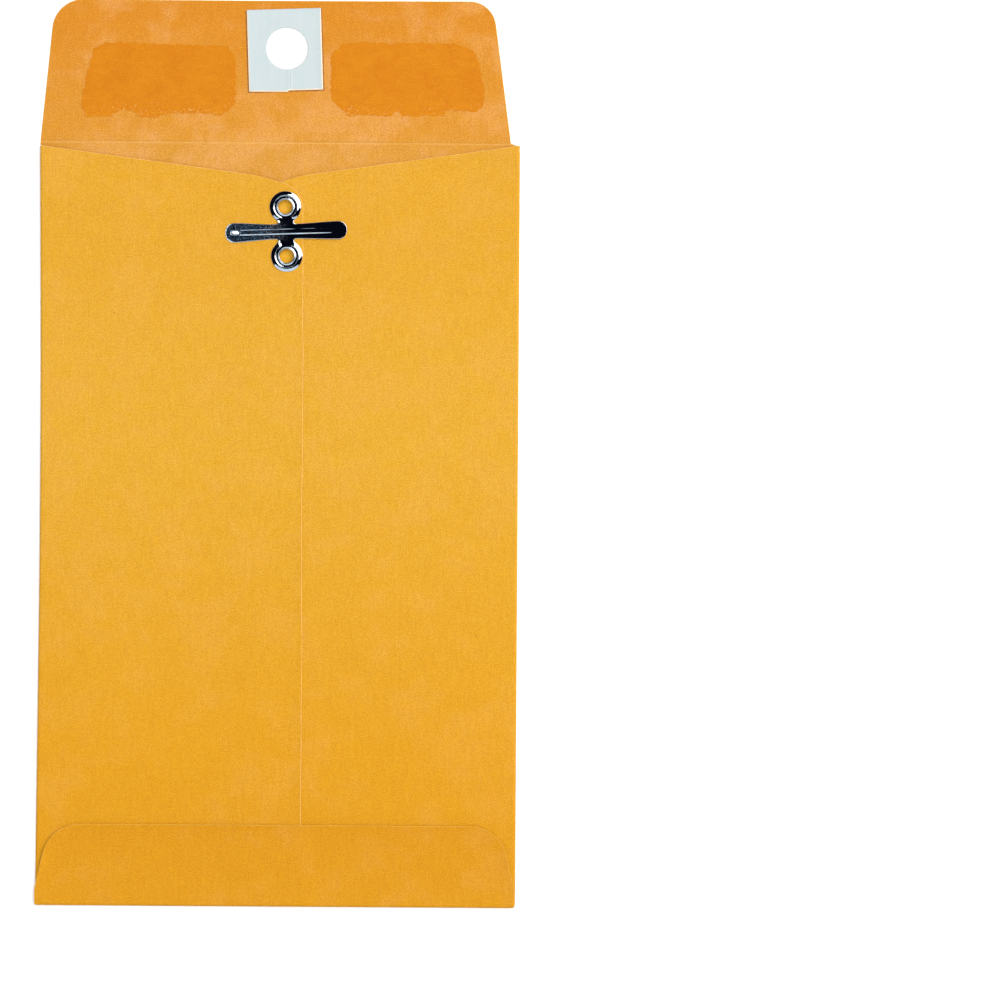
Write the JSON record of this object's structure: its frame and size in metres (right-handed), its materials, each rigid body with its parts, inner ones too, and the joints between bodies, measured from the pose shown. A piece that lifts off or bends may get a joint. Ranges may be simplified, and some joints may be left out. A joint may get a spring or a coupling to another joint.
{
  "type": "clasp envelope",
  "caption": "Flat kraft paper envelope with a centre seam, a gummed seal flap with a patched hole, and a metal clasp whose prongs bend up through it.",
  "frame": {"origin": "centre of the bounding box of the envelope with its flap open flat, on the outer face of the front panel", "axes": "+Z out of the back, the clasp side; +Y from the bottom fold towards the tip of the open seal flap; +X to the right seen from the clasp side"},
  "size_m": [0.1016, 0.1918, 0.0018],
  "materials": {
    "kraft_outside": "machine finished kraft, matte",
    "kraft_inside": "matte kraft",
    "gum": "dried gum film, satin",
    "glue": "dried paste",
    "patch_board": "pale smooth board, matte",
    "tinned_steel": "bright tinned steel"
  },
  "bodies": {
    "envelope": {"front_panel": "kraft_inside", "left_back_panel": "kraft_outside", "right_back_panel": "kraft_outside", "left_side_fold": "kraft_outside", "right_side_fold": "kraft_outside", "bottom_fold": "kraft_outside", "bottom_flap": "kraft_outside", "seam_glue": "glue", "bottom_flap_glue": "glue", "clasp_plate": "tinned_steel"},
    "flap": {"seal_flap": "kraft_inside", "left_gum_strip": "gum", "right_gum_strip": "gum", "patch_glue": "glue", "flap_patch": "patch_board"},
    "left_prong": {"left_prong": "tinned_steel"},
    "right_prong": {"right_prong": "tinned_steel"}
  },
  "joints": [
    {"name": "flap_crease", "type": "hinge", "parent": "envelope", "child": "flap", "pos_m": [0, 0.06595, 0.0008], "axis": [1, 0, 0], "range_deg": [0, 176]},
    {"name": "left_prong_bend", "type": "hinge", "parent": "envelope", "child": "left_prong", "pos_m": [-0.0009, 0.04687, 0.0015], "axis": [-0.0349, 0.9994, 0], "range_deg": [0, 95]},
    {"name": "right_prong_bend", "type": "hinge", "parent": "envelope", "child": "right_prong", "pos_m": [0.0037, 0.04703, 0.0015], "axis": [0.0349, -0.9994, 0], "range_deg": [0, 95]}
  ]
}
